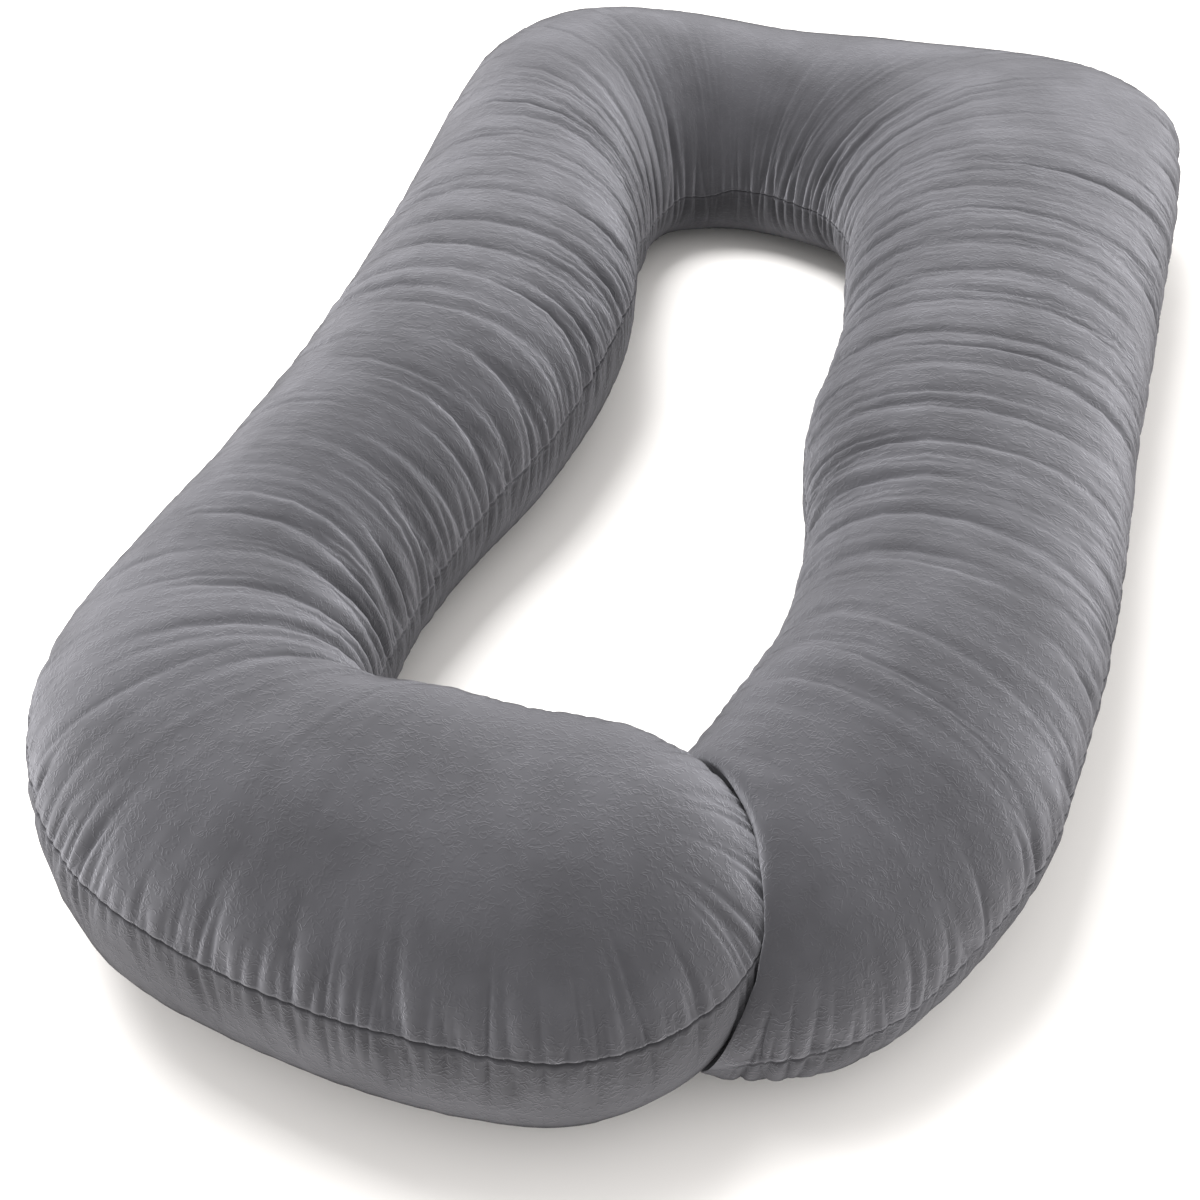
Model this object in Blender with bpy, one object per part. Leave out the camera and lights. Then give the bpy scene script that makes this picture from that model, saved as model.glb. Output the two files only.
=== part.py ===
"""Full-body support pillow: one long velvet tube bent into a U, with one end hooked across the other.

Two cut panels, a top and an underside, meet in one seam that runs round the whole outline.
The cover is filled tight, so it is one solid: a crown along its middle, sides drawn in to the seam,
gathers at the inner corners and a flat underside where it lies.
Metres, +Z up. +X is right, +Y runs from the hooked end to the closed end.
"""
import math
from collections import namedtuple

import bmesh
import bpy
from mathutils import Vector

NAME = "pillow"
SHADE = (0.30, 0.30, 0.33, 1.0)

# The tube, from the end of the free leg round the closed end to the end of the hooked leg.
# Each section joins a point of the inner seam to one of the outer seam, with the heights of all three.
Section = namedtuple("Section", "inner_x inner_y outer_x outer_y crown inner_seam outer_seam")
SECTIONS = (
    Section(0.000, -0.440, 0.195, -0.565, 0.175, 0.065, 0.080),
    Section(0.025, -0.375, 0.245, -0.490, 0.185, 0.070, 0.105),
    Section(0.055, -0.290, 0.280, -0.350, 0.190, 0.085, 0.120),
    Section(0.060, -0.190, 0.295, -0.225, 0.190, 0.100, 0.125),
    Section(0.040, -0.055, 0.310, -0.060, 0.200, 0.110, 0.110),
    Section(0.050, 0.120, 0.325, 0.115, 0.210, 0.115, 0.110),
    Section(0.040, 0.240, 0.335, 0.225, 0.215, 0.110, 0.125),
    Section(0.035, 0.315, 0.345, 0.325, 0.220, 0.095, 0.130),
    Section(0.020, 0.365, 0.355, 0.445, 0.220, 0.085, 0.135),
    Section(0.005, 0.395, 0.350, 0.560, 0.220, 0.080, 0.140),
    Section(-0.010, 0.410, 0.305, 0.635, 0.215, 0.080, 0.135),
    Section(-0.030, 0.420, 0.215, 0.675, 0.205, 0.080, 0.125),
    Section(-0.050, 0.430, 0.115, 0.685, 0.205, 0.080, 0.120),
    Section(-0.080, 0.440, -0.015, 0.685, 0.200, 0.080, 0.120),
    Section(-0.110, 0.440, -0.145, 0.695, 0.205, 0.080, 0.115),
    Section(-0.135, 0.435, -0.260, 0.685, 0.215, 0.070, 0.110),
    Section(-0.160, 0.420, -0.350, 0.650, 0.225, 0.075, 0.105),
    Section(-0.175, 0.390, -0.405, 0.575, 0.230, 0.070, 0.100),
    Section(-0.180, 0.350, -0.425, 0.480, 0.235, 0.075, 0.100),
    Section(-0.175, 0.305, -0.425, 0.380, 0.230, 0.085, 0.100),
    Section(-0.170, 0.245, -0.415, 0.245, 0.225, 0.110, 0.105),
    Section(-0.145, 0.090, -0.405, 0.090, 0.220, 0.135, 0.115),
    Section(-0.165, -0.085, -0.405, -0.085, 0.215, 0.115, 0.110),
    Section(-0.205, -0.215, -0.415, -0.215, 0.210, 0.095, 0.100),
    Section(-0.225, -0.325, -0.425, -0.355, 0.205, 0.080, 0.115),
    Section(-0.220, -0.390, -0.430, -0.470, 0.205, 0.095, 0.140),
    Section(-0.210, -0.440, -0.395, -0.565, 0.215, 0.120, 0.150),
    Section(-0.175, -0.455, -0.315, -0.655, 0.215, 0.140, 0.155),
    Section(-0.140, -0.450, -0.220, -0.690, 0.215, 0.145, 0.145),
    Section(-0.110, -0.450, -0.110, -0.705, 0.205, 0.150, 0.140),
    Section(-0.075, -0.455, -0.015, -0.700, 0.200, 0.155, 0.130),
)

# The two closed ends: how far each reaches past the last section, and the seam's height at its far point.
Tip = namedtuple("Tip", "length seam")
FREE_TIP = Tip(0.130, 0.055)
HOOK_TIP = Tip(0.140, 0.135)

# The middle of the sections' plan, which the finished pillow has at its origin.
PLAN_CENTRE = (-0.0370, -0.0064)

# Superellipse exponents of the top and the underside: 2 is an ellipse, more is fuller.
TOP_ROUNDNESS = 2.1
UNDER_ROUNDNESS = 2.4

# The sides are widest at the seam. Where it stands higher than this share of the crown's height,
# they are widest below it, by this share of the rest.
BELLY = 0.55
BELLY_DROP = 0.75

# The underside settles flat by this share of its height, and the seam is drawn in by its depth.
UNDER_SAG = 0.065
SEAM_DEPTH = 0.003

# The free end is dented by the hooked end that lies against it.
CONTACT_GAP = 0.003
CONTACT_BLEND = 0.025
PRESSED_LENGTH = 0.30
WELD = 0.00001

# Rows of the mesh: angles from the seam up to the crown, and down to the middle of the underside.
TOP_ANGLES = (4, 18, 33, 48, 62, 76, 90)
UNDER_ANGLES = (-90, -68, -46, -24, -5)
STATIONS = 188
TIP_STEPS = 16

# The folds wander: on the crown they stand a little before or behind their ends at the seams.
WANDER = 0.009
WANDER_PITCH = 0.31

# Gathers round the closed ends, a pleat for each pair of steps, from the seam to this angle.
GATHER = 0.0025
GATHER_ANGLE = 45

# Main folds, each a soft trough between two raised lips that runs across the tube.
# across is -1 at the inner seam, 0 on the crown, 1 at the outer seam, and goes on to 2 under the tube.
Fold = namedtuple("Fold", "along start end depth")
FOLD_LIP = 0.015
LIP_SHARE = 0.6
FOLD_FADE = 0.45
FOLD_REACH = 4.0
FOLDS = (
    # free leg, lower half: gathers of the inner side
    Fold(0.105, -1.3, -0.4, 0.004),
    Fold(0.165, -1.3, -0.1, 0.005),
    Fold(0.240, -1.4, 0.2, 0.006),
    Fold(0.285, -1.4, 0.6, 0.008),
    Fold(0.330, -1.3, 0.1, 0.006),
    # free leg, upper half: long folds from seam to seam
    Fold(0.375, -0.9, 1.2, 0.006),
    Fold(0.420, -1.2, 0.9, 0.008),
    Fold(0.480, -0.5, 1.3, 0.006),
    Fold(0.525, -1.3, 1.2, 0.008),
    Fold(0.570, -1.2, 0.6, 0.006),
    Fold(0.615, -0.6, 1.3, 0.008),
    Fold(0.660, -1.2, 0.8, 0.006),
    Fold(0.720, 0.0, 1.3, 0.007),
    Fold(0.765, -1.2, 0.3, 0.007),
    Fold(0.810, 0.1, 1.4, 0.006),
    # first corner: a fan on the inner side, deep gathers round the outer side
    Fold(0.855, -1.2, 0.0, 0.007),
    Fold(0.900, -1.2, -0.2, 0.008),
    Fold(0.900, 0.5, 1.5, 0.008),
    Fold(0.960, -1.2, 0.0, 0.009),
    Fold(0.960, 0.5, 1.5, 0.010),
    Fold(1.020, -1.2, -0.1, 0.008),
    Fold(1.020, 0.6, 1.5, 0.008),
    Fold(1.080, -1.2, -0.3, 0.006),
    # closed end
    Fold(1.200, -1.2, -0.5, 0.004),
    Fold(1.305, -1.2, -0.6, 0.003),
    Fold(1.425, -1.2, -0.5, 0.004),
    # second corner
    Fold(1.500, -1.2, -0.3, 0.006),
    Fold(1.545, -1.2, -0.1, 0.007),
    Fold(1.605, -1.2, 0.1, 0.009),
    Fold(1.650, -1.2, 0.2, 0.008),
    Fold(1.650, 0.5, 1.3, 0.006),
    Fold(1.710, -1.2, 0.1, 0.007),
    Fold(1.710, 0.4, 1.3, 0.006),
    # hooked leg, upper half
    Fold(1.755, -1.2, 0.6, 0.007),
    Fold(1.800, -0.2, 1.3, 0.007),
    Fold(1.845, -1.3, 0.9, 0.006),
    Fold(1.905, -0.6, 1.3, 0.006),
    Fold(1.950, -1.3, 1.2, 0.009),
    Fold(1.995, -1.0, 1.2, 0.006),
    Fold(2.040, -0.3, 1.3, 0.009),
    Fold(2.100, -1.2, 0.8, 0.006),
    # hooked leg, lower half: gathers of the inner side
    Fold(2.145, -1.3, -0.1, 0.005),
    Fold(2.205, -1.3, -0.3, 0.006),
    Fold(2.250, -1.3, -0.4, 0.006),
    Fold(2.295, -1.3, -0.3, 0.007),
    Fold(2.340, -1.3, -0.3, 0.007),
    Fold(2.385, -1.3, -0.2, 0.008),
    Fold(2.430, -1.3, 0.0, 0.009),
    # notch of the hook: the deepest fan
    Fold(2.475, -1.2, 0.2, 0.010),
    Fold(2.520, -1.2, 0.3, 0.011),
    Fold(2.565, -1.2, 0.0, 0.011),
    Fold(2.610, -1.2, -0.3, 0.008),
    # front of the hook: short gathers over the outer seam
    Fold(2.475, 0.7, 1.3, 0.004),
    Fold(2.535, 0.7, 1.3, 0.004),
    Fold(2.595, 0.7, 1.3, 0.004),
    Fold(2.655, 0.7, 1.3, 0.004),
    Fold(2.715, 0.7, 1.3, 0.004),
    Fold(2.775, 0.7, 1.3, 0.004),
)


def chord_marks():
    """How far along the tube each section stands: the mean of its two seams' chords."""
    marks = [0.0]
    for here, there in zip(SECTIONS, SECTIONS[1:]):
        inner = math.hypot(there.inner_x - here.inner_x, there.inner_y - here.inner_y)
        outer = math.hypot(there.outer_x - here.outer_x, there.outer_y - here.outer_y)
        marks.append(marks[-1] + (inner + outer) / 2)
    return marks


MARKS = chord_marks()
LENGTH = MARKS[-1]


def slope(column, i):
    """The slope of one column of the table at section i, from its neighbours."""
    if i == 0 or i == len(SECTIONS) - 1:
        a, b = (0, 1) if i == 0 else (i - 1, i)
        return (SECTIONS[b][column] - SECTIONS[a][column]) / (MARKS[b] - MARKS[a])
    before = (SECTIONS[i][column] - SECTIONS[i - 1][column]) / (MARKS[i] - MARKS[i - 1])
    after = (SECTIONS[i + 1][column] - SECTIONS[i][column]) / (MARKS[i + 1] - MARKS[i])
    share = (MARKS[i + 1] - MARKS[i]) / (MARKS[i + 1] - MARKS[i - 1])
    return before * share + after * (1 - share)


def section_at(along):
    """The section at a distance along the tube, on a cubic curve through the table's sections."""
    i = 0
    while i < len(SECTIONS) - 2 and along > MARKS[i + 1]:
        i += 1
    step = MARKS[i + 1] - MARKS[i]
    t = (along - MARKS[i]) / step
    rise = t * t * (3 - 2 * t)
    leave = t * (1 - t) ** 2 * step
    arrive = t * t * (t - 1) * step
    values = []
    for column in range(len(Section._fields)):
        level = SECTIONS[i][column] * (1 - rise) + SECTIONS[i + 1][column] * rise
        values.append(level + leave * slope(column, i) + arrive * slope(column, i + 1))
    return Section(*values)


def raised_ellipse(angle, roundness):
    """Out and up along a quarter of a superellipse, for an angle in degrees from its side."""
    turn = math.radians(abs(angle))
    return max(math.cos(turn), 0.0) ** (2 / roundness), math.sin(turn) ** (2 / roundness)


def belly_height(seam_height, crown_height):
    """The height at which a side of the tube is widest: the seam's, or lower where the seam stands high."""
    return seam_height - BELLY_DROP * max(0.0, seam_height - BELLY * crown_height)


def seam_angle(seam_height, crown_height):
    """How far up from its widest point a side has its seam, in degrees of its superellipse."""
    belly = belly_height(seam_height, crown_height)
    share = (seam_height - belly) / (crown_height - belly)
    return math.degrees(math.asin(share ** (TOP_ROUNDNESS / 2)))


def settled(height, belly):
    """The height of an underside point once the tube has settled flat on what it lies on."""
    return max(0.0, (height - UNDER_SAG * belly) / (1 - UNDER_SAG))


def strip_point(seam, crown, angle):
    """A point of the smooth cover between the seam and the tube's middle, above the seam or below it."""
    belly = belly_height(seam.z, crown.z)
    lift = seam_angle(seam.z, crown.z)
    turn = lift + (90 - math.copysign(lift, angle)) * angle / 90
    if turn >= 0:
        out, up = raised_ellipse(turn, TOP_ROUNDNESS)
        height = belly + (crown.z - belly) * up
    else:
        out, up = raised_ellipse(turn, UNDER_ROUNDNESS)
        height = settled(belly * (1 - up), belly)
    out_at_seam, _ = raised_ellipse(lift, TOP_ROUNDNESS)
    plan = crown.xy + (seam.xy - crown.xy) * out / out_at_seam
    return Vector((plan.x, plan.y, height))


def fold_depth(along, across):
    """How far the cover is drawn in at a place on the tube: negative on a fold's raised lips."""
    depth = 0.0
    for fold in FOLDS:
        apart = (along - fold.along) / FOLD_LIP * math.sqrt(3)
        inside = min(across - fold.start, fold.end - across)
        if abs(apart) > FOLD_REACH or inside < 0:
            continue
        fade = min(inside / FOLD_FADE, 1.0)
        trough = (1 - LIP_SHARE * apart * apart) * math.exp(-apart * apart / 2)
        depth += fold.depth * fade * fade * (3 - 2 * fade) * trough
    return depth


def gather_depth(turn, angle):
    """How far the cover is drawn in round a closed end, in pleats that fade away from the seam."""
    fade = max(0.0, 1 - abs(angle) / GATHER_ANGLE)
    return GATHER * math.cos(TIP_STEPS * turn) * math.sin(turn) * fade


def halves(section):
    """The plan middle of a section, and the half of it that points to the outer seam."""
    inner = Vector((section.inner_x, section.inner_y))
    outer = Vector((section.outer_x, section.outer_y))
    return (inner + outer) / 2, (outer - inner) / 2


def seam_height(section, tip, turn):
    """The seam's height round a closed end, from turn 0 on the outer side to turn pi on the inner side."""
    middle = (section.outer_seam + section.inner_seam) / 2
    tilt = (section.outer_seam - section.inner_seam) / 2
    return middle + tilt * math.cos(turn) + (tip.seam - middle) * math.sin(turn) ** 2


HOOK_END = section_at(LENGTH)
HOOK_MIDDLE, HOOK_HALF = halves(HOOK_END)


def hook_reach(direction, height):
    """How far the hooked end reaches from its middle in a plan direction, at a height."""
    aside = direction.dot(HOOK_HALF.normalized())
    ahead = math.sqrt(max(1 - aside * aside, 0.0))
    rim = 1 / math.hypot(ahead / HOOK_TIP.length, aside / HOOK_HALF.length)
    turn = math.atan2(ahead / HOOK_TIP.length, aside / HOOK_HALF.length)
    seam = seam_height(HOOK_END, HOOK_TIP, turn)
    belly = belly_height(seam, HOOK_END.crown)
    out_at_seam, _ = raised_ellipse(seam_angle(seam, HOOK_END.crown), TOP_ROUNDNESS)
    if height >= belly:
        share, roundness = (height - belly) / (HOOK_END.crown - belly), TOP_ROUNDNESS
    else:
        loose = height * (1 - UNDER_SAG) + belly * UNDER_SAG
        share, roundness = (belly - loose) / belly, UNDER_ROUNDNESS
    return rim / out_at_seam * (1 - min(share, 1.0) ** roundness) ** (1 / roundness)


def pressed_aside(point):
    """The point, moved out of the hooked end's way: the free end takes a soft dent where the two meet."""
    away = point.xy - HOOK_MIDDLE
    wall = hook_reach(away.normalized(), point.z) + CONTACT_GAP
    apart = away.length - wall
    if apart >= CONTACT_BLEND:
        return point
    push = (max(apart, -CONTACT_BLEND) + CONTACT_BLEND) ** 2 / (4 * CONTACT_BLEND)
    plan = HOOK_MIDDLE + away.normalized() * (wall + push)
    return Vector((plan.x, plan.y, point.z))


# A column of mesh points, from the underside's middle over the seam to the crown.
Column = namedtuple("Column", "along turn tip ahead")


def seam_loop():
    """Every column round the seam: outer side, hooked end, inner side back, free end."""
    places = [LENGTH * station / STATIONS for station in range(STATIONS + 1)]
    turns = [math.pi * step / TIP_STEPS for step in range(1, TIP_STEPS)]
    outer = [Column(along, 0.0, HOOK_TIP, 1) for along in places]
    hook = [Column(LENGTH, turn, HOOK_TIP, 1) for turn in turns]
    inner = [Column(along, math.pi, HOOK_TIP, 1) for along in reversed(places)]
    free = [Column(0.0, turn, FREE_TIP, -1) for turn in reversed(turns)]
    return outer + hook + inner + free


def wander(along, across):
    """How far a line across the tube stands ahead of its place on the crown: none at the seams or ends."""
    if abs(across) > 1:
        return 0.0
    wave = math.sin(math.pi * along / LENGTH) * math.sin(2 * math.pi * along / WANDER_PITCH)
    return WANDER * wave * math.cos(math.pi * across / 2)


def cover_point(column, angle):
    """The finished place of one mesh point: on the tube, drawn in by folds and seam, clear of the hook."""
    side = math.cos(column.turn)
    across = side * (1 - angle / 90)
    section = section_at(column.along + wander(column.along, across))
    middle, half = halves(section)
    ahead = Vector((-half.y, half.x)).normalized() * column.ahead * column.tip.length
    rim = middle + half * side + ahead * math.sin(column.turn)
    seam = Vector((rim.x, rim.y, seam_height(section, column.tip, column.turn)))
    crown = Vector((middle.x, middle.y, section.crown))
    point = strip_point(seam, crown, angle)
    if point.z > 0:
        core = Vector((crown.x, crown.y, crown.z / 2))
        depth = SEAM_DEPTH if angle == 0 else 0.0
        if column.turn in (0.0, math.pi):
            depth += fold_depth(column.along, across)
        else:
            depth += gather_depth(column.turn, angle)
        point += (core - point).normalized() * depth
    if column.along < PRESSED_LENGTH:
        point = pressed_aside(point)
    return point


def pillow_mesh():
    """The closed cover: a loft of the columns, welded along the crown and the middle of the underside."""
    angles = UNDER_ANGLES + (0,) + TOP_ANGLES
    shape = bmesh.new()
    grid = [[shape.verts.new(cover_point(column, angle)) for angle in angles] for column in seam_loop()]
    for here, there in zip(grid, grid[1:] + grid[:1]):
        for row in range(len(angles) - 1):
            shape.faces.new((here[row], there[row], there[row + 1], here[row + 1]))
    bmesh.ops.remove_doubles(shape, verts=shape.verts, dist=WELD)
    bmesh.ops.triangulate(shape, faces=shape.faces)
    bmesh.ops.translate(shape, verts=shape.verts, vec=(-PLAN_CENTRE[0], -PLAN_CENTRE[1], 0.0))
    mesh = bpy.data.meshes.new(NAME)
    shape.to_mesh(mesh)
    shape.free()
    mesh.shade_smooth()
    return mesh


def velvet():
    """Matt grey velvet."""
    material = bpy.data.materials.new("velvet")
    material.use_nodes = True
    shader = material.node_tree.nodes["Principled BSDF"]
    shader.inputs["Base Color"].default_value = SHADE
    shader.inputs["Roughness"].default_value = 0.9
    shader.inputs["Metallic"].default_value = 0.0
    return material


def main():
    for old in list(bpy.data.objects):
        bpy.data.objects.remove(old, do_unlink=True)
    collection = bpy.data.collections.new("support pillow")
    bpy.context.scene.collection.children.link(collection)
    pillow = bpy.data.objects.new(NAME, pillow_mesh())
    pillow.data.materials.append(velvet())
    collection.objects.link(pillow)


main()
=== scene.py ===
"""Looks of the full-body support pillow: its gathered velvet cover, a pale floor, soft light, the camera.

The cover is one closed mesh on the part's own sections. It adds what the solid leaves out:
the sewn groove of the seam, the gathers that run into it and the finer folds across the tube.
"""
import math
from collections import namedtuple

import bpy
import numpy as np
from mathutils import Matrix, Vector


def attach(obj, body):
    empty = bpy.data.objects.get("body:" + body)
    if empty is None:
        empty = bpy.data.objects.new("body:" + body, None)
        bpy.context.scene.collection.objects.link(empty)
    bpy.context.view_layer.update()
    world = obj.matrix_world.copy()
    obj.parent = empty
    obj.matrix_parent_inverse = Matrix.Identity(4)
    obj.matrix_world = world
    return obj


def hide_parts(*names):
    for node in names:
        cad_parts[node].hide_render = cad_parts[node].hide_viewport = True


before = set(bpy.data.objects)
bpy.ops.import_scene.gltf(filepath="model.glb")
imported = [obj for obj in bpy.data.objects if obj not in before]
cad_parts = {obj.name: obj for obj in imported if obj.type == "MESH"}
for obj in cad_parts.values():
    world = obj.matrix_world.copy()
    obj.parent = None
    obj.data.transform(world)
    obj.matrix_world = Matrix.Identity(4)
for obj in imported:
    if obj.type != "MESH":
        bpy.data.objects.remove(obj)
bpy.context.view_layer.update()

# The tube as the part's source has it, from the free leg's end round the closed end to the hooked
# leg's end. Each section joins a point of the inner seam to one of the outer seam, and gives the heights
# of the crown and of both seams. INNER, OUTER and the names under them pick out its columns.
Section = namedtuple("Section", "inner_x inner_y outer_x outer_y crown inner_seam outer_seam")
INNER, OUTER = slice(0, 2), slice(2, 4)
CROWN, INNER_SEAM, OUTER_SEAM = 4, 5, 6
SECTIONS = (
    Section(0.000, -0.440, 0.195, -0.565, 0.175, 0.065, 0.080),
    Section(0.025, -0.375, 0.245, -0.490, 0.185, 0.070, 0.105),
    Section(0.055, -0.290, 0.280, -0.350, 0.190, 0.085, 0.120),
    Section(0.060, -0.190, 0.295, -0.225, 0.190, 0.100, 0.125),
    Section(0.040, -0.055, 0.310, -0.060, 0.200, 0.110, 0.110),
    Section(0.050, 0.120, 0.325, 0.115, 0.210, 0.115, 0.110),
    Section(0.040, 0.240, 0.335, 0.225, 0.215, 0.110, 0.125),
    Section(0.035, 0.315, 0.345, 0.325, 0.220, 0.095, 0.130),
    Section(0.020, 0.365, 0.355, 0.445, 0.220, 0.085, 0.135),
    Section(0.005, 0.395, 0.350, 0.560, 0.220, 0.080, 0.140),
    Section(-0.010, 0.410, 0.305, 0.635, 0.215, 0.080, 0.135),
    Section(-0.030, 0.420, 0.215, 0.675, 0.205, 0.080, 0.125),
    Section(-0.050, 0.430, 0.115, 0.685, 0.205, 0.080, 0.120),
    Section(-0.080, 0.440, -0.015, 0.685, 0.200, 0.080, 0.120),
    Section(-0.110, 0.440, -0.145, 0.695, 0.205, 0.080, 0.115),
    Section(-0.135, 0.435, -0.260, 0.685, 0.215, 0.070, 0.110),
    Section(-0.160, 0.420, -0.350, 0.650, 0.225, 0.075, 0.105),
    Section(-0.175, 0.390, -0.405, 0.575, 0.230, 0.070, 0.100),
    Section(-0.180, 0.350, -0.425, 0.480, 0.235, 0.075, 0.100),
    Section(-0.175, 0.305, -0.425, 0.380, 0.230, 0.085, 0.100),
    Section(-0.170, 0.245, -0.415, 0.245, 0.225, 0.110, 0.105),
    Section(-0.145, 0.090, -0.405, 0.090, 0.220, 0.135, 0.115),
    Section(-0.165, -0.085, -0.405, -0.085, 0.215, 0.115, 0.110),
    Section(-0.205, -0.215, -0.415, -0.215, 0.210, 0.095, 0.100),
    Section(-0.225, -0.325, -0.425, -0.355, 0.205, 0.080, 0.115),
    Section(-0.220, -0.390, -0.430, -0.470, 0.205, 0.095, 0.140),
    Section(-0.210, -0.440, -0.395, -0.565, 0.215, 0.120, 0.150),
    Section(-0.175, -0.455, -0.315, -0.655, 0.215, 0.140, 0.155),
    Section(-0.140, -0.450, -0.220, -0.690, 0.215, 0.145, 0.145),
    Section(-0.110, -0.450, -0.110, -0.705, 0.205, 0.150, 0.140),
    Section(-0.075, -0.455, -0.015, -0.700, 0.200, 0.155, 0.130),
)

# The tube's two ends: how far each stands out past its last section, and the seam's height at its tip.
Tip = namedtuple("Tip", "length seam")
FREE_TIP = Tip(0.130, 0.055)
HOOK_TIP = Tip(0.140, 0.135)

# The middle of the plan outline, where the origin is.
PLAN_CENTRE = (-0.0370, -0.0064)

# The tube's cross section: the powers of its curves, how high it is widest, and how far it settles.
TOP_ROUNDNESS = 2.1
UNDER_ROUNDNESS = 2.4
BELLY = 0.55
BELLY_DROP = 0.75
UNDER_SAG = 0.065

# Lines across the tube wander along it by this much, at this pitch.
WANDER = 0.009
WANDER_PITCH = 0.31

# Where the hooked end lies against the free leg: the gap between them, how softly the dent blends, how far
# the hooked end's relief may stand out at its tip, how much further on its sides and the sine of the turn
# at which that stops, how much of the free leg is within reach, and from where to where off the hooked
# end's wall the free leg's own relief fades.
CONTACT_GAP = 0.0015
CONTACT_BLEND = 0.037
TIP_SLACK = 0.0005
SIDE_SLACK = 0.01
SLACK_TURN = 0.3
PRESSED_LENGTH = 0.30
SQUEEZED = (-0.005, 0.015)

# The fine mesh: columns along each side and round each end of the tube, rows by their degrees from the
# seam, and how many columns to each side round off the plan's corners.
COLUMNS = 1900
TIP_COLUMNS = 180
TOP_ROWS = (0.35, 0.9, 2.1, 4.6, 9, 15, 23, 33, 45, 59, 74, 90)
UNDER_ROWS = (0.35, 0.9, 2.4, 6, 12, 20, 29, 39, 51, 66, 90)
EASE_SPAN = 16

# The seam: the depth and half width of its groove, the lip beside it, how near and how far the gathers
# are pulled flat there, and how far its line strays up and down, in degrees of the cross section.
GROOVE_DEPTH = 0.0014
GROOVE_WIDTH = 0.0007
LIP_HEIGHT = 0.0004
LIP_WIDTH = 0.0020
TAUT_WIDTH = 0.006
TAUT_SHARE = 0.35
SEAM_STRAY = 0.5
SEAM_STRAY_PITCH = 0.022
SEAM_STRAY_FADE = 8
SEAM_STRAY_SEED = 61

# Main folds, in the part's own places: along the tube, and from and to across it, where -1 is the inner
# seam, 0 the crown and 1 the outer seam. A fold has a raised lip on each side and fades at its ends.
Fold = namedtuple("Fold", "along start end depth")
FOLD_LIP = 0.015
FOLD_NEAR = 4
LIP_SHARE = 0.6
FOLD_FADE = 0.45
MAIN_FOLD_SHARE = 0.12
FOLDS = (
    # free leg, lower half: gathers of the inner side
    Fold(0.105, -1.3, -0.4, 0.004),
    Fold(0.165, -1.3, -0.1, 0.005),
    Fold(0.240, -1.4, 0.2, 0.006),
    Fold(0.285, -1.4, 0.6, 0.008),
    Fold(0.330, -1.3, 0.1, 0.006),
    # free leg, upper half: long folds from seam to seam
    Fold(0.375, -0.9, 1.2, 0.006),
    Fold(0.420, -1.2, 0.9, 0.008),
    Fold(0.480, -0.5, 1.3, 0.006),
    Fold(0.525, -1.3, 1.2, 0.008),
    Fold(0.570, -1.2, 0.6, 0.006),
    Fold(0.615, -0.6, 1.3, 0.008),
    Fold(0.660, -1.2, 0.8, 0.006),
    Fold(0.720, 0.0, 1.3, 0.007),
    Fold(0.765, -1.2, 0.3, 0.007),
    Fold(0.810, 0.1, 1.4, 0.006),
    # first corner: a fan on the inner side, deep gathers round the outer side
    Fold(0.855, -1.2, 0.0, 0.007),
    Fold(0.900, -1.2, -0.2, 0.008),
    Fold(0.900, 0.5, 1.5, 0.022),
    Fold(0.960, -1.2, 0.0, 0.009),
    Fold(0.960, 0.5, 1.5, 0.026),
    Fold(1.020, -1.2, -0.1, 0.008),
    Fold(1.020, 0.6, 1.5, 0.020),
    Fold(1.080, -1.2, -0.3, 0.006),
    # closed end
    Fold(1.200, -1.2, -0.5, 0.004),
    Fold(1.305, -1.2, -0.6, 0.003),
    Fold(1.425, -1.2, -0.5, 0.004),
    # second corner
    Fold(1.500, -1.2, -0.3, 0.006),
    Fold(1.545, -1.2, -0.1, 0.007),
    Fold(1.605, -1.2, 0.1, 0.009),
    Fold(1.650, -1.2, 0.2, 0.008),
    Fold(1.650, 0.5, 1.3, 0.006),
    Fold(1.710, -1.2, 0.1, 0.007),
    Fold(1.710, 0.4, 1.3, 0.006),
    # hooked leg, upper half
    Fold(1.755, -1.2, 0.6, 0.007),
    Fold(1.800, -0.2, 1.3, 0.007),
    Fold(1.845, -1.3, 0.9, 0.006),
    Fold(1.905, -0.6, 1.3, 0.006),
    Fold(1.950, -1.3, 1.2, 0.009),
    Fold(1.995, -1.0, 1.2, 0.006),
    Fold(2.040, -0.3, 1.3, 0.009),
    Fold(2.100, -1.2, 0.8, 0.006),
    # hooked leg, lower half: gathers of the inner side
    Fold(2.145, -1.3, -0.1, 0.005),
    Fold(2.205, -1.3, -0.3, 0.006),
    Fold(2.250, -1.3, -0.4, 0.006),
    Fold(2.295, -1.3, -0.3, 0.007),
    Fold(2.340, -1.3, -0.3, 0.007),
    Fold(2.385, -1.3, -0.2, 0.008),
    Fold(2.430, -1.3, 0.0, 0.010),
    # notch of the hook: the deepest fan
    Fold(2.475, -1.2, 0.2, 0.012),
    Fold(2.520, -1.2, 0.3, 0.012),
    Fold(2.565, -1.2, 0.0, 0.012),
    Fold(2.610, -1.2, -0.3, 0.010),
    # front of the hook: short gathers over the outer seam
    Fold(2.475, 0.7, 1.3, 0.004),
    Fold(2.535, 0.7, 1.3, 0.004),
    Fold(2.595, 0.7, 1.3, 0.004),
    Fold(2.655, 0.7, 1.3, 0.004),
    Fold(2.715, 0.7, 1.3, 0.004),
    Fold(2.775, 0.7, 1.3, 0.004),
)

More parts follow.
